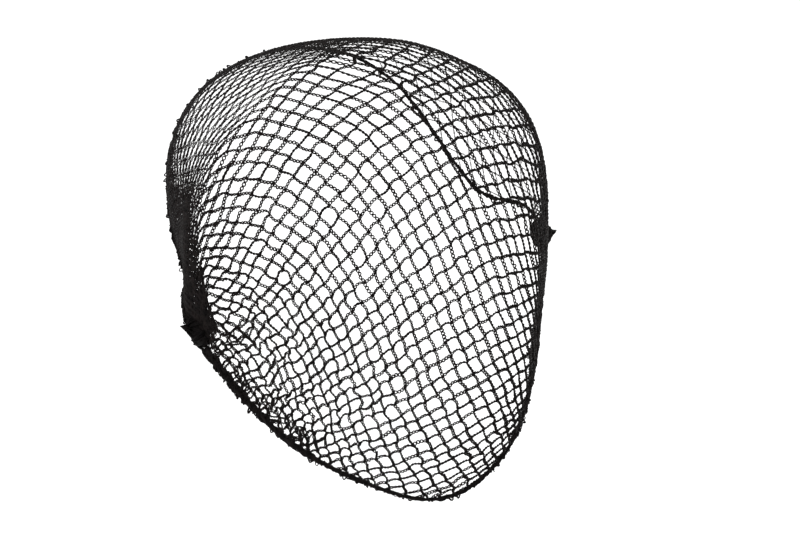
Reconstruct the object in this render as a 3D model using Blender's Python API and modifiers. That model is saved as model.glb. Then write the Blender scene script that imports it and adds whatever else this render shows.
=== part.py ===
"""Knotless mesh hairnet held at its worn shape, in metres, +Z up.

The wearer faces -Y and the wearer's left is +X. The origin is the underside
of the net at the crown, where it rests on the head. The net is a thin cap
drawn over a head form, with the lower edge gathered in a round band and tied
off in a lump over each ear.
"""
import bpy
import bmesh
import numpy as np
from math import cos, sin, pi, radians, degrees, sqrt, atan2, hypot
from mathutils import Matrix, Vector

MM = 0.001

# ---- driving dimensions, millimetres and degrees -------------------------
WALL = 1.2              # stretched netting with its knots, as one thin wall
GAP = 0.3               # clearance between neighbouring pieces
RINGS = 22              # rows of the cap between the crown and its edge
CREST = 119.2           # crown height above the centre of the head form

# The outside of the worn net. Polar angle is measured from the crown at the
# centre of the head form; the three columns are how far the net stands from
# that centre at the side, the back and the brow.
FORM = (
    # polar_deg, side_mm, back_mm, brow_mm
    (0, CREST, CREST, CREST),
    (20, 118.7, 121.9, 115.2),
    (40, 108.8, 115.4, 116.6),
    (60, 83.5, 105.4, 112.2),
    (80, 71.5, 97.8, 103.4),
    (100, 70.6, 95.0, 97.5),
    (120, 73.4, 95.6, 94.5),
    (140, 76.8, 96.7, 94.4),
)

# The gathered lower edge. Azimuth is folded onto one side: -90 is the middle
# of the brow, 0 the ear, 90 the nape.
EDGE = (
    # azimuth_deg, polar_deg
    (-90, 40.0),
    (-70, 42.5),
    (-50, 49.5),
    (-32, 60.0),
    (-14, 66.8),
    (3, 69.3),
    (11, 74.3),
    (18, 80.6),
    (28, 93.3),
    (42, 103.4),
    (62, 109.6),
    (90, 117.6),
)

# The thickness of the band along the edge, by folded azimuth.
BAND = (
    # azimuth_deg, radius_mm
    (-90, 1.0),
    (-30, 1.2),
    (12, 2.0),
    (36, 1.9),
    (46, 1.6),
    (54, 1.3),
    (64, 1.1),
    (90, 1.0),
)

# The rounded ridge where the net is drawn over the ear.
EAR_AZIMUTH, EAR_POLAR, EAR_RISE = 8.7, 72.9, 13.9
EAR_BEHIND, EAR_BEFORE = 24.5, 13.1     # width towards the nape and the brow
EAR_ABOVE, EAR_BELOW = 33.7, 25.9       # width towards the crown and the lobe

# Slack folds of the net behind the ears and in the neck.
FOLDS = (
    # azimuth_deg, polar_deg, lean_deg, length_mm, width_mm, rise_mm
    (30, 70, 12, 34, 8.0, 1.0),
    (37, 82, 28, 34, 8.0, -0.9),
    (44, 90, 44, 34, 8.0, 1.0),
    (58, 98, 60, 34, 8.0, -0.8),
)

# The tied lump where the edge is gathered at each ear.
GATHER_AZIMUTH, GATHER_POLAR = 12.0, 74.2
GATHER_LIFT = -1.0                      # of its middle, out from the net
GATHER_OUT, GATHER_ALONG, GATHER_HIGH = 3.6, 5.4, 4.8   # half sizes
TAIL_OUT = 4.6                          # how far the pointed tail stands out
TAIL_UP = {1: 6.5, -1: -0.5}            # and rises, on the left and the right

# Columns of the cap, closer together round the ears: folded azimuth spans.
SPANS = ((-90, -18, 8), (-18, 42, 15), (42, 90, 6))


def smooth_rows(rows, column, at):
    """Cubic through the rows of a table, level at its first row."""
    x = np.array([r[0] for r in rows], float)
    y = np.array([r[column] for r in rows], float)
    n, h = len(x), np.diff(x)
    a, b = np.zeros((n, n)), np.zeros(n)
    a[0, 0], a[0, 1], b[0] = 2 * h[0], h[0], 6 * (y[1] - y[0]) / h[0]
    a[-1, -1] = 1.0
    for i in range(1, n - 1):
        a[i, i - 1:i + 2] = h[i - 1], 2 * (h[i - 1] + h[i]), h[i]
        b[i] = 6 * ((y[i + 1] - y[i]) / h[i] - (y[i] - y[i - 1]) / h[i - 1])
    m = np.linalg.solve(a, b)
    at = np.clip(np.asarray(at, float), x[0], x[-1])
    k = np.clip(np.searchsorted(x, at, side="right") - 1, 0, n - 2)
    s, w = at - x[k], h[k]
    slope = (y[k + 1] - y[k]) / w - w * (2 * m[k] + m[k + 1]) / 6
    return y[k] + s * slope + s * s * m[k] / 2 + s ** 3 * (m[k + 1] - m[k]) / (6 * w)


def plain_rows(rows, column, at):
    """Curve through the rows with no overshoot, level at both ends."""
    x = np.array([r[0] for r in rows], float)
    y = np.array([r[column] for r in rows], float)
    h = np.diff(x)
    d = np.diff(y) / h
    m = np.zeros(len(x))
    for i in range(1, len(x) - 1):
        if d[i - 1] * d[i] > 0:
            near, far = 2 * h[i] + h[i - 1], h[i] + 2 * h[i - 1]
            m[i] = 3 * (h[i - 1] + h[i]) / (near / d[i - 1] + far / d[i])
    at = np.clip(np.asarray(at, float), x[0], x[-1])
    k = np.clip(np.searchsorted(x, at, side="right") - 1, 0, len(x) - 2)
    s = (at - x[k]) / h[k]
    return ((1 + 2 * s) * (1 - s) ** 2 * y[k] + s * (1 - s) ** 2 * h[k] * m[k]
            + s * s * (3 - 2 * s) * y[k + 1] + s * s * (s - 1) * h[k] * m[k + 1])


def folded(azimuth):
    """Azimuth brought onto one side: 0 at the ear, 90 at the nape."""
    a = np.radians(azimuth)
    return np.degrees(np.arctan2(np.sin(a), np.abs(np.cos(a))))


def fold_height(polar, azimuth):
    """Height of the slack folds, in millimetres."""
    side = folded(azimuth)
    total = np.zeros(np.shape(side))
    for row_azimuth, row_polar, lean, length, width, rise in FOLDS:
        scale = radians(1) * 85.0
        across = (side - row_azimuth) * scale * sin(radians(row_polar))
        down = (polar - row_polar) * scale
        c, s = cos(radians(lean)), sin(radians(lean))
        along, aside = down * c + across * s, across * c - down * s
        total = total + rise * np.exp(-(along / (length / 2)) ** 2 - (aside / (width / 2)) ** 2)
    return total


def reach(polar, azimuth):
    """How far the outside of the net stands from the centre of the form."""
    side = smooth_rows(FORM, 1, polar)
    back = smooth_rows(FORM, 2, polar)
    brow = smooth_rows(FORM, 3, polar)
    a = np.radians(azimuth)
    ends = np.where(np.sin(a) > 0, back, brow)
    plain = 1.0 / np.sqrt((np.cos(a) / side) ** 2 + (np.sin(a) / ends) ** 2)
    off = folded(azimuth) - EAR_AZIMUTH
    wide = np.where(off > 0, EAR_BEHIND, EAR_BEFORE)
    high = np.where(np.asarray(polar) < EAR_POLAR, EAR_ABOVE, EAR_BELOW)
    ear = EAR_RISE * np.exp(-np.abs((polar - EAR_POLAR) / high) ** 2.2 - (off / wide) ** 2)
    return plain + ear + fold_height(polar, azimuth)


def surface(polar, azimuth, lift=0.0):
    """A point of the net, in metres, with the underside of the crown at 0."""
    r = float(reach(polar, azimuth)) + lift
    p, a = radians(polar), radians(azimuth)
    return Vector((r * sin(p) * cos(a), r * sin(p) * sin(a),
                   r * cos(p) - CREST + WALL)) * MM


def edge_polar(azimuth):
    return float(plain_rows(EDGE, 1, folded(azimuth)))


def band_radius(azimuth):
    return float(plain_rows(BAND, 1, folded(azimuth)))


def gather_frame(side):
    """Middle of a tied lump and its outward, forward and upward directions."""
    azimuth = GATHER_AZIMUTH if side > 0 else 180 - GATHER_AZIMUTH
    middle = surface(GATHER_POLAR, azimuth, GATHER_LIFT)
    out = Vector((side * cos(radians(8)), 0.0, -sin(radians(8))))
    along = Vector((0.0, -cos(radians(38)), sin(radians(38))))
    up = out.cross(along).normalized() * side
    along = up.cross(out).normalized() * side
    return middle, out.normalized(), along, up


def gather_distance(point, side):
    """Rough distance in millimetres from a point to the tied lump."""
    middle, out, along, up = gather_frame(side)
    d = (point - middle) / MM
    parts = (d.dot(out) / GATHER_OUT, d.dot(along) / GATHER_ALONG, d.dot(up) / GATHER_HIGH)
    k = sqrt(sum(v * v for v in parts))
    return d.length * (1 - 1 / max(k, 1e-6))


def lump_limit(azimuth):
    """Polar angle at which a column of the net would run into a tied lump."""
    side = 1 if cos(radians(azimuth)) > 0 else -1
    last = edge_polar(azimuth)
    down = last - 24
    while down < last:
        outer = gather_distance(surface(down, azimuth), side)
        inner = gather_distance(surface(down, azimuth, -WALL), side)
        if min(outer, inner) < GAP + 0.5:
            return down
        down += 0.2
    return 180.0


def cap_polar(azimuth):
    """Polar angle where the net stops, clear of its band and tied lumps."""
    polar = edge_polar(azimuth)
    r = float(reach(polar, azimuth))
    slope = (edge_polar(azimuth + 0.5) - edge_polar(azimuth - 0.5)) / sin(radians(polar))
    steep = sqrt(1 + min(slope * slope, 4.0))
    polar -= degrees((band_radius(azimuth) + GAP + 0.25) / r) * steep
    if abs(folded(azimuth) - GATHER_AZIMUTH) < 15:
        polar = min([polar] + [lump_limit(azimuth + 0.8 * i) for i in range(-3, 4)])
    return polar


def columns():
    """Azimuths of the cap's columns, once round from the brow."""
    half = []
    for low, high, count in SPANS:
        half += [low + (high - low) * i / count for i in range(count)]
    return half + [90.0] + [180 - a for a in reversed(half[1:])]


def material(name, colour, roughness):
    mat = bpy.data.materials.new(name)
    mat.use_nodes = True
    shader = mat.node_tree.nodes["Principled BSDF"]
    shader.inputs["Base Color"].default_value = (*colour, 1.0)
    shader.inputs["Roughness"].default_value = roughness
    shader.inputs["Metallic"].default_value = 0.0
    mat.diffuse_color = (*colour, 1.0)
    return mat


def add_object(name, data, home, mat):
    obj = bpy.data.objects.new(name, data)
    home.objects.link(obj)
    data.materials.clear()
    data.materials.append(mat)
    return obj


def make_net_cap(home, mat):
    """The net as one thin open cap: a globe's upper half drawn to the form."""
    azimuths = columns()
    edges = [cap_polar(a) for a in azimuths]
    bm = bmesh.new()
    bmesh.ops.create_uvsphere(bm, u_segments=len(azimuths), v_segments=2 * RINGS, radius=1.0)
    bmesh.ops.delete(bm, geom=[v for v in bm.verts if v.co.z < -0.01], context="VERTS")
    step = 2 * pi / len(azimuths)
    for v in bm.verts:
        ring = round(atan2(hypot(v.co.x, v.co.y), v.co.z) / (pi / 2 / RINGS))
        column = round(atan2(v.co.y, v.co.x) / step) % len(azimuths) if ring else 0
        share = ring / RINGS
        v.co = surface(edges[column] * share if ring else 0.0, azimuths[column])
    bmesh.ops.recalc_face_normals(bm, faces=bm.faces)
    crown = min(bm.faces, key=lambda f: -f.calc_center_median().z)
    if crown.normal.z < 0:
        bmesh.ops.reverse_faces(bm, faces=bm.faces)
    mesh = bpy.data.meshes.new("net_cap")
    bm.to_mesh(mesh)
    bm.free()
    mesh.shade_smooth()
    cap = add_object("net_cap", mesh, home, mat)
    solid = cap.modifiers.new("wall", "SOLIDIFY")
    solid.thickness = WALL * MM
    solid.offset = -1.0
    solid.use_even_offset = True
    return cap


def make_band(name, start, stop, steps, home, mat):
    """A round band along the gathered edge from one tied lump to the other."""
    mid = (start + stop) / 2

    def line_point(azimuth):
        return surface(edge_polar(azimuth), azimuth, -WALL / 2)

    def clear(azimuth, toward):
        # step off the tied lump until the whole end face stands clear of it
        side = 1 if cos(radians(azimuth)) > 0 else -1
        while True:
            here, ahead = line_point(azimuth), line_point(azimuth + 0.5 * toward)
            run = (ahead - here).normalized()
            aside = run.orthogonal().normalized() * band_radius(azimuth) * MM
            ring = [here] + [here + Matrix.Rotation(pi * i / 4, 3, run) @ aside for i in range(8)]
            if min(gather_distance(p, side) for p in ring) > GAP + 0.15:
                return azimuth
            azimuth += 0.1 * toward

    toward = 1 if mid > start else -1
    start, stop = clear(start, toward), clear(stop, -toward)
    path = []
    for i in range(steps + 1):
        # closer together near the ends, where the edge turns down the ear
        t = (1 - cos(pi * i / steps)) / 2
        azimuth = start + (stop - start) * t
        path.append((surface(edge_polar(azimuth), azimuth, -WALL / 2), band_radius(azimuth)))
    curve = bpy.data.curves.new(name, "CURVE")
    curve.dimensions = "3D"
    curve.bevel_depth = MM
    curve.bevel_resolution = 2
    curve.use_fill_caps = True
    line = curve.splines.new("POLY")
    line.points.add(len(path) - 1)
    for spot, (co, radius) in zip(line.points, path):
        spot.co = (*co, 1.0)
        spot.radius = radius
    return add_object(name, curve, home, mat)


def make_gather(name, side, home, mat):
    """A tied lump of gathered net with a short pointed tail."""
    middle, out, along, up = gather_frame(side)
    bm = bmesh.new()
    bmesh.ops.create_uvsphere(bm, u_segments=18, v_segments=12, radius=1.0)
    for v in bm.verts:
        lift, ring = v.co.z, hypot(v.co.x, v.co.y)
        turn = atan2(v.co.y, v.co.x)
        pinch = 1 + 0.09 * cos(5 * turn) * ring
        tail = max(0.0, (lift - 0.55) / 0.45) ** 1.5
        spot = (out * (GATHER_OUT * lift + TAIL_OUT * tail)
                + along * (GATHER_ALONG * v.co.x * pinch * (1 - 0.35 * tail))
                + up * (GATHER_HIGH * v.co.y * pinch * (1 - 0.35 * tail))
                + Vector((0.0, 0.0, TAIL_UP[side] * tail)))
        v.co = middle + spot * MM
    bmesh.ops.recalc_face_normals(bm, faces=bm.faces)
    if bm.calc_volume(signed=True) < 0:
        bmesh.ops.reverse_faces(bm, faces=bm.faces)
    mesh = bpy.data.meshes.new(name)
    bm.to_mesh(mesh)
    bm.free()
    mesh.shade_smooth()
    return add_object(name, mesh, home, mat)


def main():
    for obj in list(bpy.data.objects):
        bpy.data.objects.remove(obj, do_unlink=True)
    home = bpy.data.collections.new("hairnet")
    bpy.context.scene.collection.children.link(home)
    netting = material("netting", (0.018, 0.015, 0.014), 0.72)
    elastic = material("elastic", (0.012, 0.011, 0.011), 0.80)
    gathered = material("gathered_net", (0.012, 0.010, 0.010), 0.80)
    make_net_cap(home, netting)
    make_band("nape_band", GATHER_AZIMUTH, 180 - GATHER_AZIMUTH, 44, home, elastic)
    make_band("brow_band", GATHER_AZIMUTH, -180 - GATHER_AZIMUTH, 40, home, elastic)
    make_gather("left_gather", 1, home, gathered)
    make_gather("right_gather", -1, home, gathered)


main()
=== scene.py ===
"""A black knotted hairnet at its worn shape: open mesh of looped thread, a bunched elastic edge and a tied lump at each ear.

The net's lines come from a chart of how its two sets of strands lean over the form. Two numbers, one for each set,
are solved over the form so that they rise by one from knot to knot along the strands, and the knots are where both are
whole. Lengths in the working are in millimetres about the form's centre, and change to the row's metres at the end.
"""
import math
import bpy
import numpy as np
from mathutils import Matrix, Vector


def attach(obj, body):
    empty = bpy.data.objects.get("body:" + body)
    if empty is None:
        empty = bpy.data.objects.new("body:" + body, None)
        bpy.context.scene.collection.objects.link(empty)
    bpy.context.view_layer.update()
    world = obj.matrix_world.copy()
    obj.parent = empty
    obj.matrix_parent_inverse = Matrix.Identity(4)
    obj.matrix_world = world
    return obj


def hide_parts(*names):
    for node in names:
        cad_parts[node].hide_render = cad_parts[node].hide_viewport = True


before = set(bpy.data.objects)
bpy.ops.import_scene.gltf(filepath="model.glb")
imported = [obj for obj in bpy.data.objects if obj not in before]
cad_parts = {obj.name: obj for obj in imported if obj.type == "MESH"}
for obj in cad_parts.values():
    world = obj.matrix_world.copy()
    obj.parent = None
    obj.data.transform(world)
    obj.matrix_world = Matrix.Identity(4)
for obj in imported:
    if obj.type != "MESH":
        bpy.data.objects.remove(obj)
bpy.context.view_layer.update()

# ---------------------------------------------------------------- the form
CENTRE_DROP = 118.0   # the form's centre lies this far under the origin, mm
INSET = 0.55          # the strands' middle line lies this far inside the outer face

# polar angle from the crown, reach to the side, to the back and to the front, mm
FORM_ROWS = [
    (0, 119.2, 119.2, 119.2), (20, 118.7, 121.9, 115.2), (40, 108.8, 115.4, 116.6), (60, 83.5, 105.4, 112.2),
    (80, 71.5, 97.8, 103.4), (100, 70.6, 95.0, 97.5), (120, 73.4, 95.6, 94.5), (140, 76.8, 96.7, 94.4)]
# azimuth (0 at the ear, 90 at the nape, -90 at the brow), polar angle of the net's edge
RIM_ROWS = [(-90, 40.0), (-70, 42.5), (-50, 49.5), (-32, 60.0), (-14, 66.8), (3, 69.3), (11, 74.3), (18, 80.6),
            (28, 93.3), (42, 103.4), (62, 109.6), (90, 117.6)]
EAR = dict(azimuth=8.7, polar=72.9, height=13.9, behind=24.5, before=13.1, above=33.7, below=25.9)
# azimuth, radius of the bunched edge, mm
BAND_ROWS = [(-90, 0.7), (-30, 0.95), (12, 2.1), (36, 2.0), (46, 1.6), (54, 1.2), (64, 0.95), (90, 0.85)]
BAND_RIGHT_ROWS = [(-90, 0.7), (12, 0.85), (50, 0.9), (90, 0.85)]   # the wearer's right, less bunched
KNOT_AZIMUTH, KNOT_POLAR = 12.0, 74.2
# angle from the crown towards the ear, where the fold that runs from ear to ear lies, mm behind the centre
RIDGE_ROWS = [(0, -17), (3.4, -16), (9.9, -8.5), (16.1, -1.5), (21.8, 2), (31, 4), (36.4, 6), (41, 8.7), (45, 12),
              (53, 17), (62, 20), (69, 24), (76.5, 21), (90, 21)]


def spline(x, y, at):
    x, y = np.asarray(x, float), np.asarray(y, float)
    n, h = len(x), np.diff(x)
    A, b = np.zeros((n, n)), np.zeros(n)
    A[0, 0], A[0, 1], b[0] = 2 * h[0], h[0], 6 * (y[1] - y[0]) / h[0]
    A[-1, -1] = 1
    for i in range(1, n - 1):
        A[i, i - 1], A[i, i], A[i, i + 1] = h[i - 1], 2 * (h[i - 1] + h[i]), h[i]
        b[i] = 6 * ((y[i + 1] - y[i]) / h[i] - (y[i] - y[i - 1]) / h[i - 1])
    m = np.linalg.solve(A, b)
    at = np.clip(np.asarray(at, float), x[0], x[-1])
    k = np.clip(np.searchsorted(x, at, side="right") - 1, 0, n - 2)
    s, hk = at - x[k], h[k]
    return (y[k] + s * ((y[k + 1] - y[k]) / hk - hk * (2 * m[k] + m[k + 1]) / 6) + s * s * m[k] / 2
            + s ** 3 * (m[k + 1] - m[k]) / (6 * hk))


def hermite(x, y, at):
    x, y = np.asarray(x, float), np.asarray(y, float)
    h = np.diff(x)
    d = np.diff(y) / h
    m = np.zeros(len(x))
    for i in range(1, len(x) - 1):
        m[i] = 0 if d[i - 1] * d[i] <= 0 else (h[i - 1] + h[i]) * 3 / (
            (2 * h[i] + h[i - 1]) / d[i - 1] + (h[i] + 2 * h[i - 1]) / d[i])
    at = np.clip(np.asarray(at, float), x[0], x[-1])
    k = np.clip(np.searchsorted(x, at, side="right") - 1, 0, len(x) - 2)
    s = (at - x[k]) / h[k]
    return ((1 + 2 * s) * (1 - s) ** 2 * y[k] + s * (1 - s) ** 2 * h[k] * m[k] + s * s * (3 - 2 * s) * y[k + 1]
            + s * s * (s - 1) * h[k] * m[k + 1])


def fold(azimuth):
    r = np.radians(azimuth)
    return np.degrees(np.arctan2(np.sin(r), np.abs(np.cos(r))))


FORM = np.array(FORM_ROWS, float)
RIM = np.array(RIM_ROWS, float)
BAND = np.array(BAND_ROWS, float)
BAND_RIGHT = np.array(BAND_RIGHT_ROWS, float)
RIDGE = np.array(RIDGE_ROWS, float)


def reach(polar, azimuth):
    side = spline(FORM[:, 0], FORM[:, 1], polar)
    back = spline(FORM[:, 0], FORM[:, 2], polar)
    front = spline(FORM[:, 0], FORM[:, 3], polar)
    r = np.radians(azimuth)
    c, s = np.cos(r), np.sin(r)
    rad = 1 / np.sqrt((c / side) ** 2 + (s / np.where(s > 0, back, front)) ** 2)
    off = fold(azimuth) - EAR["azimuth"]
    wa = np.where(off > 0, EAR["behind"], EAR["before"])
    wp = np.where(polar < EAR["polar"], EAR["above"], EAR["below"])
    return rad + EAR["height"] * np.exp(-np.abs((polar - EAR["polar"]) / wp) ** 2.2 - np.abs(off / wa) ** 2)


def rim(azimuth):
    return hermite(RIM[:, 0], RIM[:, 1], fold(azimuth))


def point(polar, azimuth, inset=0.0):
    polar, azimuth = np.broadcast_arrays(np.asarray(polar, float), np.asarray(azimuth, float))
    rad = reach(polar, azimuth) - inset
    p, a = np.radians(polar), np.radians(azimuth)
    return np.stack([rad * np.sin(p) * np.cos(a), rad * np.sin(p) * np.sin(a), rad * np.cos(p)], -1)


def unit(v):
    return v / np.maximum(np.linalg.norm(v, axis=-1, keepdims=True), 1e-9)


def angles(P):
    return (np.degrees(np.arccos(np.clip(P[..., 2] / np.linalg.norm(P, axis=-1), -1, 1))),
            np.degrees(np.arctan2(P[..., 1], P[..., 0])))


def directions(polar, azimuth):
    """Outward normal, the way down from the crown and the way round, at each place."""
    e = 0.25
    down = point(polar + e, azimuth) - point(polar - e, azimuth)
    around = point(polar, azimuth + e) - point(polar, azimuth - e)
    n = unit(np.cross(down, around))
    s = unit(down)
    return n, s, np.cross(n, s)


def settle(P, inset):
    """P moved along its own direction until it lies inset under the outer face, and the normal there."""
    polar, azimuth = angles(P)
    polar = np.maximum(polar, 0.3)
    Q = point(polar, azimuth, inset)
    n, _, _ = directions(polar, azimuth)
    return Q, n


def before_fold(P):
    w = np.degrees(np.arctan2(np.abs(P[..., 0]), P[..., 2]))
    return P[..., 1] - np.interp(w, RIDGE[:, 0], RIDGE[:, 1])


# ---------------------------------------------------------------- the net's chart
SIDE = 6.15           # a mesh's side from knot to knot, mm
# azimuth, polar angle, lean of each set of strands from straight down towards growing azimuth, size of the mesh
LEAN_ROWS = [
    (6, 18.3, 99, -153, 1), (19, 27.3, 109, -176, 1), (32, 27.4, 88, 170, 1), (17, 35.7, 117, 180, 1),
    (21, 32.6, 109, 179, 1), (17, 39.9, 115, 174, 1), (32, 21.7, 78, 172, 1), (51, 26.3, 51, 146, 1),
    (53, 32.1, 48, 143, 1), (45, 32.6, 61, 150, 1), (40, 36.7, 70, 153, 1), (31, 36.8, 94, 166, 1),
    (63, 25.1, 38, 133, 1), (86, 16.4, 22, 110, 1), (66, 13.6, 47, 128, 1), (37, 11.3, 77, 164, 1),
    (92, 21.3, 7, 104, 1), (76, 26.8, 24, 122, 1), (111, 26.9, -16, 80, 1), (106, 20.7, -9, 88, 1),
    (137, 36, -50, 57, 1), (138, 28.6, -46, 58, 1), (127, 42.7, -14, 67, 1), (120, 36.4, -20, 72, 1),
    (99, 42.1, -7, 86, 1), (73, 35.9, 27, 126, 1), (90, 32.3, 5, 105, 1), (84, 43, 11, 114, 1),
    (152, 7.2, -46, 46, 1), (30, 2, 94, 166, 1), (150, 18.5, -58, 46, 1), (144, 23.5, -54, 50, 1),
    (151, 30.6, -57, 48, 1), (-45, 6.9, 157, -110, 1), (62, 41.7, 33, 131, 1), (80, 41.3, 14, 120, 1),
    (95, 43.8, -2, 96, 1), (113, 50.2, -9, 73, 1), (135, 49.8, 4, 63, 1), (66, 52, 24, 132, .95),
    (80, 52.8, 16, 116, .95), (91, 54.9, 8, 102, 1), (108, 59.6, 5, 75, 1), (123, 67.3, 24, 62, 1),
    (64, 67.2, 12, 125, .9), (76, 67.7, 7, 119, .95), (91, 68.7, 9, 95, .95), (103, 73.3, 13, 77, .95),
    (76, 80.4, 11, 115, .95), (64, 78.8, 9, 124, .9), (91, 81.7, 17, 99, .9), (100, 84, 20, 83, .85),
    (23, 42.9, 106, 172, .85), (19, 52.1, 107, 169, .85), (17, 56.6, 107, 165, .85), (17, 62.8, 96, 161, .8),
    (43, 45.8, 54, 143, .95), (53, 44, 44, 141, .97), (46, 52.4, 43, 135, .9), (54, 51.7, 33, 137, .92),
    (34, 44.1, 83, 159, .85), (30, 50, 77, 158, .85), (49, 59.7, 18, 130, .85), (56, 60.1, 18, 132, .9),
    (51, 68.2, 16, 130, .9), (41, 61.7, 25, 134, .85), (34, 65.6, 45, 139, .8), (30, 59, 62, 150, .8),
    (51, 71.9, 7, 131, .92), (46, 80.8, 7, 133, .85), (37, 77, 19, 133, .8), (65, 84.8, 8, 124, .85),
    (71, 89.7, 11, 120, .9), (62, 99.5, 8, 121, .8), (69, 104.3, 13, 115, .8), (55, 92.8, 6, 128, .85),
    (47, 93.4, 5, 132, .78), (74, 81.9, 11, 119, .95), (80, 82.7, 13, 118, .95), (86, 91.1, 19, 114, .9),
    (95, 94.4, 24, 110, .8), (76, 97.9, 14, 113, .9), (85, 101.9, 20, 111, .85), (92, 111.2, 25, 104, .8),
    (82, 109.6, 18, 102, .85), (99, 89, 23, 91, .8), (105, 82.2, 18, 74, .8), (102, 101.8, 30, 92, .65),
    (157, 43, 8, 74, .95), (161, 52, 11, 73, .9), (163, 57, 15, 73, .85), (163, 63, 19, 84, .8),
    (146, 65, 30, 80, .75), (143, 77, 33, 85, .7), (133, 93, 33, 95, .75), (155, 30, -30, 55, .95),
    (165, 25, -20, 60, .95)]
# the drawn-out strands in front of the fold
DRAWN_ROWS = [
    (-38, 26.9, -116, -91), (-40, 19.5, -120, -92), (-52, 13.3, -122, -87), (-79, 8.3, -110, -68),
    (-34, 32.9, -120, -95), (-11, 29.7, -158, -130), (-9, 25.3, -162, -133), (-8, 21.6, -167, -133),
    (-11, 16.3, -169, -133), (-24, 38.4, -139, -110), (-5, 34.5, -162, -129), (3, 30.5, -179, -143),
    (-19, 44.5, -163, -126), (-1, 40.9, -153, -122), (4, 37.8, -169, -136), (8, 46, -179, -159),
    (9, 53.4, 177, -169), (11, 61.1, 178, -173), (9, 68.7, -170, -165), (14, 66.7, 176, -179),
    (-128, 8.3, -67, -26)]
DRAWN_WEIGHT = 3.0
OPENING = (0.0052, 0.011)   # how fast the drawn-out meshes open with the distance from the left and right lump, per mm


def front_rows():
    """The strands ahead of the fold run from lump to lump, shut near each and open between them."""
    left = point(KNOT_POLAR, KNOT_AZIMUTH)
    right = left * [-1, 1, 1]
    rows = []
    for polar in range(10, 76, 8):
        for azimuth in range(-170, 14, 11):
            P = point(polar, azimuth)
            if polar > rim(azimuth) + 2 or before_fold(P) > -3:
                continue
            n, s, r = [v[0] for v in directions(np.array([float(polar)]), np.array([float(azimuth)]))]
            dl, dr = np.linalg.norm(P - left), np.linalg.norm(P - right)
            v = (P - left) / dl ** 2 + (right - P) / dr ** 2
            v = unit(v - (v @ n) * n)
            half = math.degrees(math.asin(min(0.68, max(0.03, min(OPENING[0] * dl, OPENING[1] * dr)))))
            lean = math.degrees(math.atan2(v @ r, v @ s))
            rows.append((azimuth, polar, lean - half, lean + half, 1.7 if azimuth < -132 and polar > 38 else 1.25 if azimuth < -115 and polar > 38 else 1.0, 1.0))
    return rows


def solve_chart(n_az=120, n_t=45, t_low=0.004, t_high=1.05, blur=11.0, apart=30.0):
    rows = np.array([r + (1.0,) for r in LEAN_ROWS] + [r + (1.0, DRAWN_WEIGHT) for r in DRAWN_ROWS] + front_rows(),
                    float)
    az = np.linspace(-180, 180, n_az, endpoint=False)
    t = np.linspace(t_low, t_high, n_t)
    AZ, T = np.meshgrid(az, t, indexing="ij")
    P = point(T * rim(AZ), AZ)
    N, _, _ = directions(T * rim(AZ), AZ)
    at = point(rows[:, 1], rows[:, 0])
    _, s, r = directions(rows[:, 1], rows[:, 0])
    way = lambda a: s * np.cos(np.radians(a))[:, None] + r * np.sin(np.radians(a))[:, None]
    va, vb = way(rows[:, 2]), way(rows[:, 3])
    gap = np.tanh(before_fold(P) / 4)[..., None] - np.tanh(before_fold(at) / 4)
    d2 = ((P[:, :, None, :] - at) ** 2).sum(-1) + (apart * gap) ** 2
    w = (np.exp(-d2 / (2 * blur ** 2)) + 1e-4 * np.exp(-d2 / (2 * (3 * blur) ** 2))) * rows[:, 5]
    w /= w.sum(-1, keepdims=True)
    size = (w @ rows[:, 4])[..., None]
    flat = lambda V: unit(V - (V * N).sum(-1, keepdims=True) * N)
    A, B = flat(w @ va), flat(w @ vb)
    c = (A * B).sum(-1, keepdims=True)
    den = np.maximum(1 - c * c, 0.012) * SIDE * size
    GU, GV = ((A - c * B) / den).reshape(-1, 3), ((B - c * A) / den).reshape(-1, 3)
    n = n_az * n_t
    k = np.arange(n).reshape(n_az, n_t)
    nxt = np.roll(k, -1, 0)
    edges = [(k.ravel(), nxt.ravel()), (k[:, :-1].ravel(), k[:, 1:].ravel()),
             (k[:, :-1].ravel(), nxt[:, 1:].ravel()), (k[:, 1:].ravel(), nxt[:, :-1].ravel())]
    p, q = np.concatenate([e[0] for e in edges]), np.concatenate([e[1] for e in edges])
    Pf = P.reshape(-1, 3)
    d = Pf[q] - Pf[p]
    steep = np.maximum(np.linalg.norm(GU, axis=1), np.linalg.norm(GV, axis=1)) * SIDE
    wt = 2.0 / np.maximum(np.linalg.norm(d, axis=1), 0.3) / (steep[p] + steep[q])
    M, right = np.zeros((n, n)), np.zeros((n, 2))
    np.add.at(M, (p, p), wt)
    np.add.at(M, (q, q), wt)
    np.add.at(M, (p, q), -wt)
    np.add.at(M, (q, p), -wt)
    for j, G in enumerate((GU, GV)):
        b = ((G[p] + G[q]) / 2 * d).sum(1)
        np.add.at(right[:, j], q, wt * b)
        np.add.at(right[:, j], p, -wt * b)
    M[0, 0] += 1.0
    X = np.linalg.solve(M, right)
    return az, t, X[:, 0].reshape(n_az, n_t), X[:, 1].reshape(n_az, n_t)


def finer(F, k):
    """The same field on a grid k times as fine, round in its first direction."""
    def along(F, axis, closed):
        F = np.moveaxis(F, axis, 0)
        m = F.shape[0] if closed else F.shape[0] - 1
        G = np.concatenate([F[-1:], F, F[:2]] if closed else [2 * F[:1] - F[1:2], F, 2 * F[-1:] - F[-2:-1]], 0)
        a, b, c, d = G[0:m], G[1:m + 1], G[2:m + 2], G[3:m + 3]
        out = []
        for j in range(k):
            s = j / k
            out.append(0.5 * (2 * b + (c - a) * s + (2 * a - 5 * b + 4 * c - d) * s * s
                              + (3 * b - a - 3 * c + d) * s ** 3))
        O = np.stack(out, 1).reshape((m * k,) + F.shape[1:])
        if not closed:
            O = np.concatenate([O, F[-1:]], 0)
        return np.moveaxis(O, 0, axis)
    return along(along(F, 0, True), 1, False)


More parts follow.
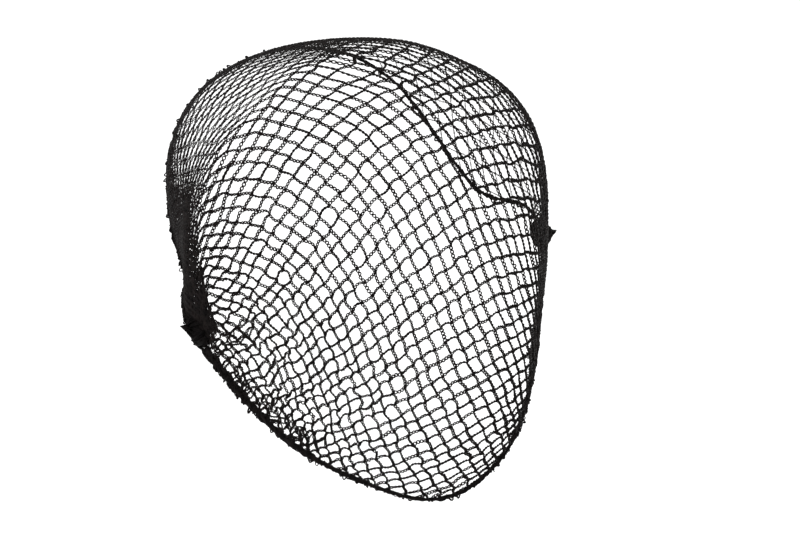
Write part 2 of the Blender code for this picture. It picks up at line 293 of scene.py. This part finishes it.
def find_knots(az, t, U, V, k=3):
    U, V = finer(U, k), finer(V, k)
    na, nt = U.shape
    step, ts = 360.0 / na, np.linspace(t[0], t[-1], nt)
    found = {}
    i, j = [g.ravel() for g in np.meshgrid(np.arange(na), np.arange(nt - 1), indexing="ij")]
    i2 = (i + 1) % na
    for tri, da in (([(i, j), (i2, j), (i2, j + 1)], (0, 1, 1)), ([(i, j), (i2, j + 1), (i, j + 1)], (0, 1, 0))):
        u = np.stack([U[a, b] for a, b in tri], 1)
        v = np.stack([V[a, b] for a, b in tri], 1)
        aa = az[0] + np.stack([i + x for x in da], 1) * step
        tt = np.stack([ts[b] for a, b in tri], 1)
        hit = np.where((np.floor(u.max(1)) >= np.ceil(u.min(1))) & (np.floor(v.max(1)) >= np.ceil(v.min(1))))[0]
        for m in hit:
            M = np.array([[u[m, 1] - u[m, 0], u[m, 2] - u[m, 0]], [v[m, 1] - v[m, 0], v[m, 2] - v[m, 0]]])
            if abs(np.linalg.det(M)) < 1e-12:
                continue
            for iu in range(int(np.ceil(u[m].min())), int(np.floor(u[m].max())) + 1):
                for iv in range(int(np.ceil(v[m].min())), int(np.floor(v[m].max())) + 1):
                    x = np.linalg.solve(M, [iu - u[m, 0], iv - v[m, 0]])
                    if x[0] >= -1e-9 and x[1] >= -1e-9 and x.sum() <= 1 + 1e-9:
                        found.setdefault((iu, iv), (aa[m, 0] + x[0] * (aa[m, 1] - aa[m, 0]) + x[1] * (aa[m, 2] - aa[m, 0]),
                                                    tt[m, 0] + x[0] * (tt[m, 1] - tt[m, 0]) + x[1] * (tt[m, 2] - tt[m, 0])))
    return found


class Gather:
    """Collects closed tubes and small forms as arrays, and makes one mesh of them."""

    def __init__(self):
        self.verts, self.quads, self.tris, self.count = [], [], [], 0

    def tubes(self, paths, up, radius, sides=4, closed=False, turn=0.0):
        """paths is (tubes, points, 3); up the way each section's first axis faces; radius a number or (tubes, points)."""
        n, m = paths.shape[:2]
        if closed:
            tang = np.roll(paths, -1, 1) - np.roll(paths, 1, 1)
        else:
            tang = np.empty_like(paths)
            tang[:, 1:-1] = paths[:, 2:] - paths[:, :-2]
            tang[:, 0], tang[:, -1] = paths[:, 1] - paths[:, 0], paths[:, -1] - paths[:, -2]
        tang = unit(tang)
        side = unit(np.cross(tang, up))
        top = np.cross(side, tang)
        a = 2 * np.pi * (np.arange(sides) + turn) / sides
        rad = np.broadcast_to(np.asarray(radius, float), (n, m))[..., None, None]
        ring = paths[:, :, None, :] + rad * (np.cos(a)[:, None] * side[:, :, None, :]
                                             + np.sin(a)[:, None] * top[:, :, None, :])
        self.verts.append(ring.reshape(-1, 3))
        idx = self.count + np.arange(n * m * sides).reshape(n, m, sides)
        if closed:
            lo, hi = idx, np.roll(idx, -1, 1)
        else:
            lo, hi = idx[:, :-1], idx[:, 1:]
        quads = np.stack([lo, np.roll(lo, -1, 2), np.roll(hi, -1, 2), hi], -1).reshape(-1, 4)
        self.quads.append(quads)
        if not closed and sides == 3:
            self.tris.append(idx[:, 0, ::-1])
            self.tris.append(idx[:, -1])
        if not closed and sides == 4:
            self.quads.append(np.stack([idx[:, 0, 3], idx[:, 0, 2], idx[:, 0, 1], idx[:, 0, 0]], -1))
            self.quads.append(np.stack([idx[:, -1, 0], idx[:, -1, 1], idx[:, -1, 2], idx[:, -1, 3]], -1))
        self.count += n * m * sides

    def make(self, name, material, node=None):
        V = np.concatenate(self.verts)
        V = (V - [0, 0, CENTRE_DROP]) * 0.001
        Q = np.concatenate(self.quads).astype(np.int32)
        T = np.concatenate(self.tris).astype(np.int32) if self.tris else np.zeros((0, 3), np.int32)
        me = bpy.data.meshes.new(name)
        me.vertices.add(len(V))
        me.vertices.foreach_set("co", V.astype(np.float32).ravel())
        me.loops.add(Q.size + T.size)
        me.loops.foreach_set("vertex_index", np.concatenate([Q.ravel(), T.ravel()]))
        me.polygons.add(len(Q) + len(T))
        me.polygons.foreach_set("loop_start", np.concatenate([np.arange(0, Q.size, 4), Q.size + np.arange(0, T.size, 3)])
                                .astype(np.int32))
        me.polygons.foreach_set("use_smooth", np.ones(len(Q) + len(T), bool))
        me.update(calc_edges=True)
        me.validate()
        me.materials.append(material)
        ob = bpy.data.objects.new(name, me)
        bpy.context.scene.collection.objects.link(ob)
        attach(ob, "root")
        if node:
            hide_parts(node)
        return ob


def smooth_noise(P, length, seed, count=7):
    """A soft random field of about unit size with waves of about that length, one value for each point."""
    g = np.random.default_rng(seed)
    k = unit(g.normal(size=(count, 3))) * (2 * np.pi / (length * g.uniform(0.7, 1.5, (count, 1))))
    ph = g.uniform(0, 2 * np.pi, count)
    return np.sin(P @ k.T + ph).sum(-1) * math.sqrt(2.0 / count)


# ---------------------------------------------------------------- materials
def thread_material(name, dark, light, rough, sheen, grain, bump, spec=0.5):
    """Black yarn: two tones in soft patches, a fine fibre grain in the bump, and a faint fuzz."""
    m = bpy.data.materials.new(name)
    m.use_nodes = True
    nt = m.node_tree
    nt.nodes.clear()
    out = nt.nodes.new("ShaderNodeOutputMaterial")
    bsdf = nt.nodes.new("ShaderNodeBsdfPrincipled")
    nt.links.new(bsdf.outputs["BSDF"], out.inputs["Surface"])
    coord = nt.nodes.new("ShaderNodeTexCoord")
    tone = nt.nodes.new("ShaderNodeTexNoise")
    tone.inputs["Scale"].default_value = 420.0
    tone.inputs["Detail"].default_value = 3.0
    nt.links.new(coord.outputs["Object"], tone.inputs["Vector"])
    ramp = nt.nodes.new("ShaderNodeValToRGB")
    ramp.color_ramp.elements[0].position = 0.38
    ramp.color_ramp.elements[0].color = (*dark, 1)
    ramp.color_ramp.elements[1].position = 0.72
    ramp.color_ramp.elements[1].color = (*light, 1)
    nt.links.new(tone.outputs["Fac"], ramp.inputs["Fac"])
    nt.links.new(ramp.outputs["Color"], bsdf.inputs["Base Color"])
    rr = nt.nodes.new("ShaderNodeMapRange")
    rr.inputs["To Min"].default_value = rough - 0.10
    rr.inputs["To Max"].default_value = rough + 0.12
    nt.links.new(tone.outputs["Fac"], rr.inputs["Value"])
    nt.links.new(rr.outputs["Result"], bsdf.inputs["Roughness"])
    fibre = nt.nodes.new("ShaderNodeTexNoise")
    fibre.inputs["Scale"].default_value = grain
    fibre.inputs["Detail"].default_value = 2.0
    nt.links.new(coord.outputs["Object"], fibre.inputs["Vector"])
    bp = nt.nodes.new("ShaderNodeBump")
    bp.inputs["Strength"].default_value = bump
    bp.inputs["Distance"].default_value = 0.00012
    nt.links.new(fibre.outputs["Fac"], bp.inputs["Height"])
    nt.links.new(bp.outputs["Normal"], bsdf.inputs["Normal"])
    bsdf.inputs["Specular IOR Level"].default_value = spec
    bsdf.inputs["Sheen Weight"].default_value = sheen
    bsdf.inputs["Sheen Roughness"].default_value = 0.45
    bsdf.inputs["Sheen Tint"].default_value = (0.62, 0.56, 0.52, 1)
    return m


mat_net = thread_material("net_thread", (0.0022, 0.0017, 0.0017), (0.0115, 0.0088, 0.0082), 0.5, 0.01, 5200.0, 0.5, 0.045)
mat_band = thread_material("edge_yarn", (0.0022, 0.0018, 0.0018), (0.0080, 0.0064, 0.0060), 0.60, 0.01, 4200.0, 0.6, 0.05)
mat_lump = thread_material("gathered_yarn", (0.0018, 0.0015, 0.0015), (0.0060, 0.0048, 0.0046), 0.62, 0.01, 4200.0, 0.6, 0.04)

# ---------------------------------------------------------------- the net
az, t, U, V = solve_chart()
knots = find_knots(az, t, U, V)
keys = sorted(knots)
index = {k: i for i, k in enumerate(keys)}
spot = np.array([knots[k] for k in keys])
K_polar, K_az, K_t = spot[:, 1] * rim(spot[:, 0]), spot[:, 0], spot[:, 1]
K = point(K_polar, K_az, INSET)

# where the net is crumpled: azimuth, polar angle, reach and amount, mm
CRUMPLE_ROWS = [(33, 62, 15, 0.4), (38, 78, 13, 0.45), (47, 92, 12, 0.4), (26, 70, 10, 0.3), (63, 78, 9, 0.3), (104, 98, 16, 0.4),
                (138, 50, 16, 0.3), (8, 22, 7, 0.3), (150, 72, 18, 0.3), (58, 103, 10, 0.3), (85, 113, 12, 0.3)]
loose = np.full(len(K), 0.42)
for a_, p_, w_, s_ in CRUMPLE_ROWS:
    loose += s_ * np.exp(-((K - point(p_, a_)) ** 2).sum(1) / (2 * w_ ** 2))
NK, SK, RK = directions(np.maximum(K_polar, 0.3), K_az)
calm = np.clip(np.minimum(np.linalg.norm(K - point(KNOT_POLAR, KNOT_AZIMUTH), axis=1),
                          np.linalg.norm(K - point(KNOT_POLAR, KNOT_AZIMUTH) * [-1, 1, 1], axis=1)) / 30.0, 0.1, 1.0)
ahead = 1 / (1 + np.exp((before_fold(K) + 1.0) / 2.0))            # 1 ahead of the fold
loose *= np.where(ahead > 0.5, 0.45 * calm, 1.0)
rng = np.random.default_rng(20)
jig = rng.normal(size=(len(K), 2)) * 0.42
K = K + (loose * (smooth_noise(K, 14, 1) * 0.55 + jig[:, 0]))[:, None] * SK \
      + (loose * (smooth_noise(K, 14, 2) * 0.55 + jig[:, 1]))[:, None] * RK
K, NK = settle(K, INSET)

# each knot is a short joint: two legs leave its upper end and two its lower one
JOINT = 0.34
ways = np.zeros((len(K), 3))
for key, i in index.items():
    for step, sign in (((1, 0), -1), ((-1, 0), 1), ((0, 1), 1), ((0, -1), -1)):
        other = (key[0] + step[0], key[1] + step[1])
        if other in index:
            d = K[index[other]] - K[i]
            ways[i] += sign * d / max(np.linalg.norm(d), 1e-6)
joint_way = unit(ways - (ways * NK).sum(-1, keepdims=True) * NK)
joint = JOINT * np.clip(np.linalg.norm(ways, axis=1) / 2.6, 0.2, 1)[:, None] * np.where(ahead > 0.5, 0.4, 1.0)[:, None]

bars, family = [], []
for key, i in index.items():
    for f, other in enumerate(((key[0] + 1, key[1]), (key[0], key[1] + 1))):
        if other in index:
            j = index[other]
            if np.linalg.norm(K[i] - K[j]) < 3.6 * SIDE:
                bars.append((i, j))
                family.append(f)
bars, family = np.array(bars), np.array(family)

# pleats under the left lump: along these lines a second layer of the same meshes lies a little to the side
PLEAT_LINES = [[(15, 75), (20, 79), (27, 86), (36, 93), (47, 99)], [(15, 73), (22, 71), (28, 69)]]
line = np.concatenate([point(np.interp(np.linspace(0, len(r) - 1, 24), range(len(r)), [v[1] for v in r]),
                             np.interp(np.linspace(0, len(r) - 1, 24), range(len(r)), [v[0] for v in r]), INSET)
                       for r in PLEAT_LINES])
near = np.exp(-(np.linalg.norm(K[:, None] - line, axis=-1).min(1) / 4.2) ** 2)
picked = np.maximum(near[bars[:, 0]], near[bars[:, 1]]) > 0.3
rng = np.random.default_rng(61)
K2, _ = settle(K + (2.2 * near)[:, None] * (0.55 * SK + 0.85 * RK) + (0.45 * near)[:, None] * rng.normal(size=K.shape), INSET)
bars = np.concatenate([bars, bars[picked] + len(K)])
family = np.concatenate([family, family[picked]])
under = np.arange(len(bars)) >= len(bars) - picked.sum()
K = np.concatenate([K, K2])
NK, SK, RK, K_t, loose, joint, joint_way, ahead = [np.concatenate([v, v]) for v in
                                                   (NK, SK, RK, K_t, loose, joint, joint_way, ahead)]
ti, tj = K_t[bars[:, 0]], K_t[bars[:, 1]]
keep = (ti < 1.0) | (tj < 1.0)
bars, family, ti, tj, under = bars[keep], family[keep], ti[keep], tj[keep], under[keep]
toward = np.where(family == 0, -1.0, 1.0)[:, None]
A0 = K[bars[:, 0]] + toward * (joint * joint_way)[bars[:, 0]]
B0 = K[bars[:, 1]] - toward * (joint * joint_way)[bars[:, 1]]
# a bar that crosses the edge stops at it
fa = np.where(ti > 1, (ti - 1) / np.maximum(ti - tj, 1e-6), 0.0)
fb = np.where(tj > 1, (tj - 1) / np.maximum(tj - ti, 1e-6), 0.0)
A = A0 + fa[:, None] * (B0 - A0)
B = B0 + fb[:, None] * (A0 - B0)
length = np.linalg.norm(B - A, axis=1)
ok = length > 0.8
bars, family, A, B, length, under = bars[ok], family[ok], A[ok], B[ok], length[ok], under[ok]
part = length / np.maximum(np.linalg.norm(B0[ok] - A0[ok], axis=1), 1e-6)
print("knots", len(K), "bars", len(bars), "median", np.median(length))

rng = np.random.default_rng(5)
n = len(bars)
LOOPS = 4
SEG = 12
s = np.linspace(0, 1, SEG + 1)
mid, nm = settle((A + B) / 2, INSET)
cross_way = unit(np.cross(nm, B - A))
spare = np.maximum(SIDE * 1.03 * part - length, 0)
lo = (loose[bars[:, 0]] + loose[bars[:, 1]]) / 2
behind = np.where(ahead[bars[:, 0]] > 0.5, 0.25, 1.0)
bow = np.minimum(np.sqrt(spare * length) * 0.36, 0.9) * rng.choice([-1, 1, 1], n) * rng.uniform(0.2, 1.0, n)
bow += np.where(family == 0, 0.02, 0.12) * part * behind
bow += rng.normal(size=n) * 0.34 * np.clip(lo, 0.1, 1.4)
ess = (rng.normal(size=n) * 0.24 + np.where(family == 0, 0.0, -0.2)) * np.clip(lo, 0.1, 1.2)
pathC = A[:, None] + s[None, :, None] * (B - A)[:, None]
pathC += (bow[:, None] * np.sin(np.pi * s))[..., None] * cross_way[:, None]
pathC += (ess[:, None] * np.sin(2 * np.pi * s))[..., None] * cross_way[:, None]
pathC, nC = settle(pathC, INSET)
lift = np.minimum(np.abs(rng.normal(size=n)) * 0.35 * np.clip(lo - 0.3, 0, 1.6), 0.9)
pathC -= (lift[:, None] * np.sin(np.pi * s))[..., None] * nC
# each bar is two threads that cross three times, as a flat chain that stands up more or less on the form
WIDE, THICK, THREAD = 0.72, 0.24, 0.35
tang = unit(np.gradient(pathC, axis=1))
flatw = unit(np.cross(nC, tang))
roll = np.where(family == 0, rng.normal(size=n) * 0.5, rng.normal(size=n) * 0.7 + 0.3)[:, None] \
    + rng.normal(size=(n, 1)) * 0.9 * (s - 0.5)
cr, sr = np.cos(roll)[..., None], np.sin(roll)[..., None]
wv = cr * flatw + sr * nC
hv = -sr * flatw + cr * nC
from_knot = np.linalg.norm((A + B) / 2 - point(KNOT_POLAR, KNOT_AZIMUTH), axis=1)
drawn = (ahead[bars[:, 0]] + ahead[bars[:, 1]]) / 2 * np.clip((from_knot - 15) / 45, 0.0, 1.0)
short = np.clip(length / part / SIDE, 0.55, 1.0)
# the stretched threads far ahead of the fold, out of the photo's sight, are finer
BACK_VIEW = np.array([0.410, 0.744, 0.527])   # towards the photo's camera
front = (ahead[bars[:, 0]] + ahead[bars[:, 1]]) / 2 * np.clip((0.10 - nm @ BACK_VIEW) / 0.22, 0.0, 1.0)
wide = WIDE * rng.uniform(0.72, 1.15, n) * (1 - 0.45 * drawn) * (0.3 + 0.7 * short) * np.where(under, 0.7, 1.0) * (1 - 0.4 * front)
turns = np.maximum(1, np.round(part * LOOPS))
phase = turns[:, None] * np.pi * s
strands = []
for sign in (1, -1):
    lat = sign * wide[:, None] * np.sin(phase) * (0.92 + 0.16 * rng.uniform(-1, 1, (n, 1)))
    ver = sign * THICK * np.cos(phase)
    strands.append(pathC + lat[..., None] * wv + ver[..., None] * hv)
rad = THREAD * ((1 - 0.34 * drawn) * (0.55 + 0.45 * short) * np.where(under, 0.8, 1.0) * (1 - 0.38 * front))[:, None] \
    * (1 + 0.10 * rng.uniform(-1, 1, (n, 1))) * (0.86 + 0.36 * np.cos(phase) ** 2)

# small wound knots where the bars meet
used = np.unique(bars[:, :].ravel())
inside = used[K_t[used] < 0.995]
c = K[inside]
g = np.random.default_rng(9)
m = len(inside)
twist = g.uniform(0, 2 * np.pi, m)
sK, rK = SK[inside], RK[inside]
e1 = joint_way[inside]
e2 = np.cross(NK[inside], e1)
th = np.linspace(0, 2 * np.pi, 12, endpoint=False)
size = g.uniform(0.85, 1.2, m)[:, None]
wrap = c[:, None] + ((joint[inside] + 0.25) * np.cos(th))[..., None] * e1[:, None] \
    + (size * 0.46 * np.sin(2 * th + 0.5 * twist[:, None]))[..., None] * e2[:, None] \
    + (size * 0.30 * np.sin(3 * th + 0.6))[..., None] * NK[inside][:, None]

where = np.degrees(np.arctan2(((A + B) / 2)[:, 1], ((A + B) / 2)[:, 0]))
cuts = np.percentile(where, [17, 33, 50, 67, 83])
group = np.searchsorted(cuts, where)
kgroup = np.searchsorted(cuts, np.degrees(np.arctan2(c[:, 1], c[:, 0])))
# the pleats drawn together along the fold into each lump
g = np.random.default_rng(77)
pleats = []
for side in (1, -1):
    count, m = (26 if side > 0 else 12), 15
    u = np.linspace(0, 1, m)
    far = g.uniform(54, 66, (count, 1))
    pp = KNOT_POLAR - 1 + (far - KNOT_POLAR + 1) * u
    lie = g.uniform(-4.5, 4.6, (count, 1)) * (1 - u) ** 0.8 + g.uniform(-3.0, 0.6, (count, 1)) * u ** 0.7
    lie *= np.minimum(1, 0.25 + 3.2 * u)
    scan = np.linspace(-6, 50, 225)
    PP = point(np.repeat(pp.ravel()[:, None], 225, 1), np.broadcast_to(scan, (pp.size, 225)))
    off = np.abs(before_fold(PP) - lie.ravel()[:, None] - 1.0)
    aa = scan[off.argmin(1)].reshape(pp.shape)
    aa = (aa[:, [0] + list(range(m - 1))] + 2 * aa + aa[:, list(range(1, m)) + [m - 1]]) / 4
    w = np.clip(u / 0.18, 0, 1)
    aa = KNOT_AZIMUTH * (1 - w) + aa * w
    Q = point(pp, aa if side > 0 else 180 - aa, INSET)
    nQ = directions(pp, aa if side > 0 else 180 - aa)[0]
    pleats.append((Q - nQ * g.uniform(-0.1, 0.5, (count, 1, 1)), nQ))

names = ["net_right_brow", "net_left_brow", "net_left_ear", "net_left_back", "net_right_back", "net_right_ear"]
net = []
for gi, name in enumerate(names):
    G = Gather()
    pick = group == gi
    for st in strands:
        G.tubes(st[pick], nC[pick], rad[pick], sides=3)
    kp = kgroup == gi
    G.tubes(wrap[kp], NK[inside][kp][:, None] + np.zeros((kp.sum(), 12, 3)), 0.34 * (1 - 0.4 * ahead[inside][kp])[:, None] * np.ones((1, 12)), sides=3,
            closed=True)
    if name in ("net_left_ear", "net_right_ear"):
        Q, nQ = pleats[0 if name == "net_left_ear" else 1]
        G.tubes(Q, nQ, 0.42 * (1 - 0.45 * np.linspace(0, 1, Q.shape[1]))[None] * np.ones((len(Q), 1)), sides=3)
    net.append(G.make(name, mat_net, "net_cap"))


# ---------------------------------------------------------------- the bunched elastic edge
def edge_line(start, stop, step):
    """Points along the edge about step mm apart between two azimuths, with their azimuths."""
    fine = np.linspace(start, stop, 2000)
    P = point(rim(fine), fine, INSET)
    d = np.concatenate([[0], np.cumsum(np.linalg.norm(np.diff(P, axis=0), axis=1))])
    count = int(d[-1] / step) + 1
    a = np.interp(np.linspace(0, d[-1], count), d, fine)
    return a, point(rim(a), a, INSET), d[-1]


def edge_radius(a):
    a = np.asarray(a, float)
    return np.where((a > 90) | (a < -90), np.interp(fold(a), BAND_RIGHT[:, 0], BAND_RIGHT[:, 1]),
                    np.interp(fold(a), BAND[:, 0], BAND[:, 1])) + 0.4 * np.exp(-((a - 118) / 13) ** 2)


def make_edge(name, node, start, stop, seed, plies=9):
    g = np.random.default_rng(seed)
    a, P, total = edge_line(start, stop, 0.9)
    m = len(a)
    n_, s_, r_ = directions(rim(a), a)
    tg = unit(np.gradient(P, axis=0))
    o = unit(n_ - (n_ * tg).sum(-1, keepdims=True) * tg)
    q = np.cross(tg, o)
    R = edge_radius(a) * (0.92 + 0.10 * smooth_noise(P, 9, seed + 1)[:])
    along = np.linspace(0, total, m)
    G = Gather()
    G.tubes(P[None], o[None], (R * 0.62)[None], sides=8)
    core_end = G.count
    rows, ups, radii = [], [], []
    for k in range(plies):
        turn = 2 * np.pi * k / plies + along / (R.mean() * g.uniform(3.2, 5.5)) * g.choice([1, 1, -1]) \
            + 0.9 * smooth_noise(P + 50 * k, 7, seed + 20 + k)
        rr = R * (0.66 + 0.16 * smooth_noise(P - 31 * k, 4.5, seed + 40 + k))
        rows.append(P + (rr * np.cos(turn))[:, None] * o + (rr * np.sin(turn))[:, None] * q)
        ups.append(np.cos(turn)[:, None] * o + np.sin(turn)[:, None] * q)
        radii.append(np.clip(R * 0.26, 0.26, 0.5) * (1 + 0.2 * smooth_noise(P + 9 * k, 3, seed + 60 + k)))
    G.tubes(np.array(rows), np.array(ups), np.array(radii), sides=5)
    # the bunched meshes show as small loops thrown round the edge
    count = int(total / 1.5)
    at = np.sort(g.uniform(0, total, count))
    pi = np.interp(at, along, np.arange(m)).astype(int)
    th = np.linspace(0, 2 * np.pi, 14, endpoint=False)
    lean = g.normal(size=count) * 0.5
    rr = (R[pi] * g.uniform(0.86, 1.12, count))[:, None]
    ring = P[pi][:, None] + (rr * np.cos(th))[..., None] * o[pi][:, None] + (rr * np.sin(th))[..., None] * q[pi][:, None] \
        + (rr * np.sin(th + g.uniform(0, 6, (count, 1))) * lean[:, None])[..., None] * tg[pi][:, None]
    up = np.cos(th)[None, :, None] * o[pi][:, None] + np.sin(th)[None, :, None] * q[pi][:, None]
    G.tubes(ring, up, 0.23 * g.uniform(0.8, 1.2, (count, 1)) * np.ones((1, 14)), closed=True)
    # nubs and stray loops that stand off the edge
    count = int(total / 1.5)
    at = g.uniform(0, total, count)
    pi = np.interp(at, along, np.arange(m)).astype(int)
    turn = g.normal(size=count) * 0.9 + 0.0
    outw = np.cos(turn)[:, None] * s_[pi] + np.sin(turn)[:, None] * o[pi]
    high = R[pi] * 0.6 + np.minimum(g.gamma(1.6, 0.45, count), 1.3)
    wid = g.uniform(0.4, 1.0, count)
    u = np.linspace(0, np.pi, 9)
    base = P[pi]
    loop = base[:, None] + ((high + R[pi] * 0.4)[:, None] * np.sin(u))[..., None] * outw[:, None] \
        + (wid[:, None] * np.cos(u))[..., None] * tg[pi][:, None] + (0.3 * g.normal(size=(count, 1)) * np.sin(2 * u))[..., None] * o[pi][:, None]
    G.tubes(loop, np.cross(outw, tg[pi])[:, None] + np.zeros((count, 9, 3)), 0.30 * g.uniform(0.7, 1.4, (count, 1)) * np.ones((1, 9)))
    return G.make(name, mat_band, node), total


nape, nape_len = make_edge("nape_edge", "nape_band", KNOT_AZIMUTH + 3, 180 - KNOT_AZIMUTH - 3, 100)
brow, brow_len = make_edge("brow_edge", "brow_band", KNOT_AZIMUTH - 2, -180 - KNOT_AZIMUTH + 2, 200, plies=7)
print("edge lengths", nape_len, brow_len)


# ---------------------------------------------------------------- the tied lumps
def make_lump(name, node, side, seed):
    g = np.random.default_rng(seed)
    azimuth = KNOT_AZIMUTH if side > 0 else 180 - KNOT_AZIMUTH
    n_, s_, r_ = [v[0] for v in directions(np.array([KNOT_POLAR]), np.array([azimuth]))]
    base = point(KNOT_POLAR, azimuth, 0) - n_ * 1.0
    out = np.array([side * math.cos(math.radians(8)), 0, -math.sin(math.radians(8))])
    along = np.array([0, -math.cos(math.radians(38)), math.sin(math.radians(38))])
    along = unit(along - (along @ out) * out)
    high = np.cross(out, along)
    ax = np.array([3.8, 6.2, 5.2])
    G = Gather()
    # a solid heart under wound thread
    th = np.linspace(-np.pi / 2 + 0.15, np.pi / 2 - 0.15, 13)
    heart = base + np.sin(th)[:, None] * ax[1] * 0.86 * along
    G.tubes(heart[None], np.broadcast_to(out, heart.shape)[None], (np.cos(th) * 3.9)[None], sides=12)
    count = 46
    th = np.linspace(0, 2 * np.pi, 26, endpoint=False)
    tilt = g.normal(size=(count, 2)) * [0.45, 0.5]
    w1 = unit(np.stack([np.cos(tilt[:, 0]), np.sin(tilt[:, 0]) * 0.6, np.sin(tilt[:, 1]) * 0.4], -1))
    w2 = unit(np.cross(np.stack([np.sin(tilt[:, 1]), np.ones(count), tilt[:, 0]], -1), w1))
    dirs = unit(np.cos(th)[None, :, None] * w1[:, None] + np.sin(th)[None, :, None] * w2[:, None])
    shift = g.uniform(-0.72, 0.72, count)[:, None]
    local = dirs.copy()
    local[..., 1] += shift
    scale = np.sqrt(np.maximum(1 - shift ** 2, 0.2)) * g.uniform(0.86, 1.04, (count, 1))
    local = np.stack([local[..., 0] * scale, local[..., 1] * 0.9, local[..., 2] * scale], -1) * ax
    lumpy = 1 + 0.07 * smooth_noise(local, 4, seed + 3)
    W = base + (local[..., 0] * lumpy)[..., None] * out + (local[..., 1])[..., None] * along + (local[..., 2] * lumpy)[..., None] * high
    up = unit(W - base)
    G.tubes(W, up, 0.34 * g.uniform(0.75, 1.25, (count, 1)) * np.ones((1, 26)), sides=5, closed=True)
    # ends drawn together into a short point
    tip = base + out * 8.0 + np.array([0, 0, 6.6 if side > 0 else -0.5])
    count = 26
    u = np.linspace(0, 1, 9)
    root = base + g.uniform(-1, 1, (count, 1)) * 2.6 * high + g.uniform(-1, 1, (count, 1)) * 5.0 * along + out * 1.6
    end = tip + g.normal(size=(count, 3)) * 0.28 - unit(tip - base) * g.gamma(1.2, 0.8, (count, 1))
    line = root[:, None] + (end - root)[:, None] * u[None, :, None] + (0.5 * g.normal(size=(count, 1)) * np.sin(np.pi * u))[..., None] * high
    G.tubes(line, np.broadcast_to(high, line.shape) + 0.01, 0.42 * (1 - 0.45 * u)[None] * g.uniform(0.8, 1.2, (count, 1)))
    return G.make(name, mat_lump, node)


make_lump("left_lump", "left_gather", 1, 31)
make_lump("right_lump", "right_gather", -1, 47)

# ---------------------------------------------------------------- floor, light and camera
floor_mat = bpy.data.materials.new("pale_floor")
floor_mat.use_nodes = True
fb_ = floor_mat.node_tree.nodes["Principled BSDF"]
fb_.inputs["Base Color"].default_value = (0.93, 0.93, 0.93, 1)
fb_.inputs["Roughness"].default_value = 0.9
fb_.inputs["Specular IOR Level"].default_value = 0.1
bpy.ops.mesh.primitive_plane_add(size=12, location=(0, 0, -0.62))
floor = bpy.context.object
floor.name = "floor"
floor.data.materials.append(floor_mat)

world = bpy.data.worlds.new("studio")
bpy.context.scene.world = world
world.use_nodes = True
world.node_tree.nodes["Background"].inputs["Color"].default_value = (1, 1, 1, 1)
world.node_tree.nodes["Background"].inputs["Strength"].default_value = 1.0


def softbox(name, location, target, size, power):
    data = bpy.data.lights.new(name, "AREA")
    data.shape = "RECTANGLE"
    data.size, data.size_y = size
    data.energy = power
    ob = bpy.data.objects.new(name, data)
    ob.location = location
    ob.rotation_euler = (Vector(target) - Vector(location)).to_track_quat("-Z", "Y").to_euler()
    bpy.context.scene.collection.objects.link(ob)
    return ob


softbox("key", (1.3, 0.9, 1.3), (0, 0, -0.09), (0.9, 0.9), 22)
softbox("fill", (-1.4, 1.3, 0.7), (0, 0, -0.09), (1.2, 1.2), 10)
softbox("top", (0.0, 0.1, 1.7), (0, 0, -0.09), (1.6, 1.6), 18)

target = Vector((0, 0, -0.098))
yaw, rise, away = math.radians(180 - 28.86), math.radians(31.8), 1.4
cam_data = bpy.data.cameras.new("camera")
cam = bpy.data.objects.new("camera", cam_data)
bpy.context.scene.collection.objects.link(cam)
cam.location = target + away * Vector((math.sin(yaw) * math.cos(rise), -math.cos(yaw) * math.cos(rise), math.sin(rise)))
cam.rotation_euler = (target - cam.location).to_track_quat("-Z", "Y").to_euler()
cam_data.sensor_width = 36.0
cam_data.lens = 3323.7 / 800 * 36
cam_data.shift_x = (400 - 353.48) / 800
cam_data.shift_y = (269.95 - 266.5) / 800
cam_data.clip_end = 50
bpy.context.scene.camera = cam
bpy.context.scene.view_settings.view_transform = "Standard"
